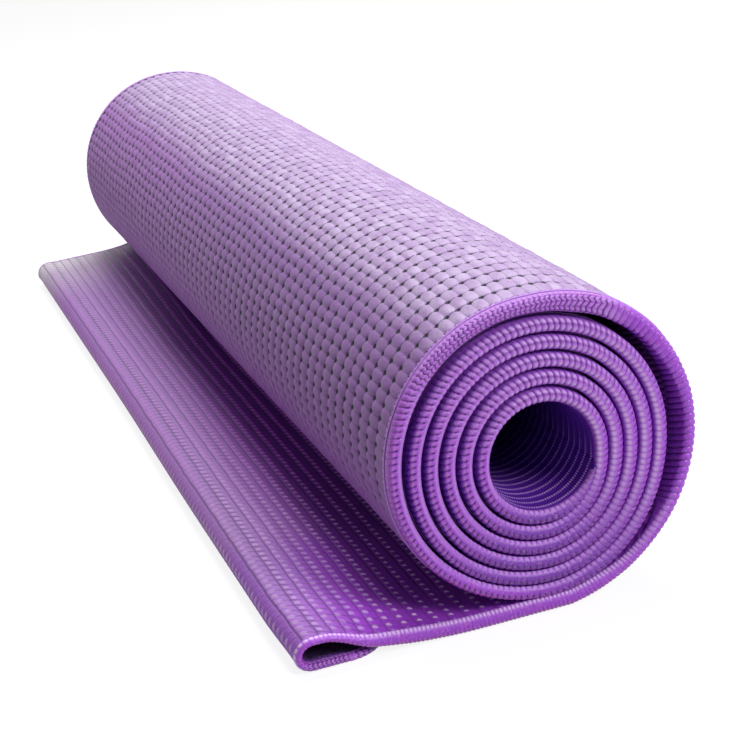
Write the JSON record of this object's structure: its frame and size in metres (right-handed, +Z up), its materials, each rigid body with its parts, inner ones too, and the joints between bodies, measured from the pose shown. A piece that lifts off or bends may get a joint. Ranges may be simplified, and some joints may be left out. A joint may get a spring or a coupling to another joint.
{
  "type": "yoga mat",
  "caption": "Rolled exercise mat of laminated foam with bound edges: its outer end lies flat on the floor and is folded under at the tip.",
  "frame": {"origin": "middle of the footprint, on the floor that the mat lies on", "axes": "+Y along the roll's axis, from its pictured end to the far end; +Z up; +X from the folded flap towards the roll"},
  "size_m": [0.1722, 0.61, 0.1304],
  "materials": {
    "practice_foam": "satin closed-cell foam, embossed with rows of small beads",
    "base_foam": "dull closed-cell foam, embossed with a pebbled basket weave",
    "scrim_yarn": "open woven polyester mesh, sealed between the foam layers",
    "binding_thread": "dense overlocked thread with fine cross ribs and a slight sheen"
  },
  "bodies": {
    "root": {"practice_foam": "practice_foam", "base_foam": "base_foam", "woven_scrim": "scrim_yarn", "front_edge_binding": "binding_thread", "rear_edge_binding": "binding_thread", "hem_end_binding": "binding_thread", "core_end_binding": "binding_thread"}
  },
  "joints": []
}
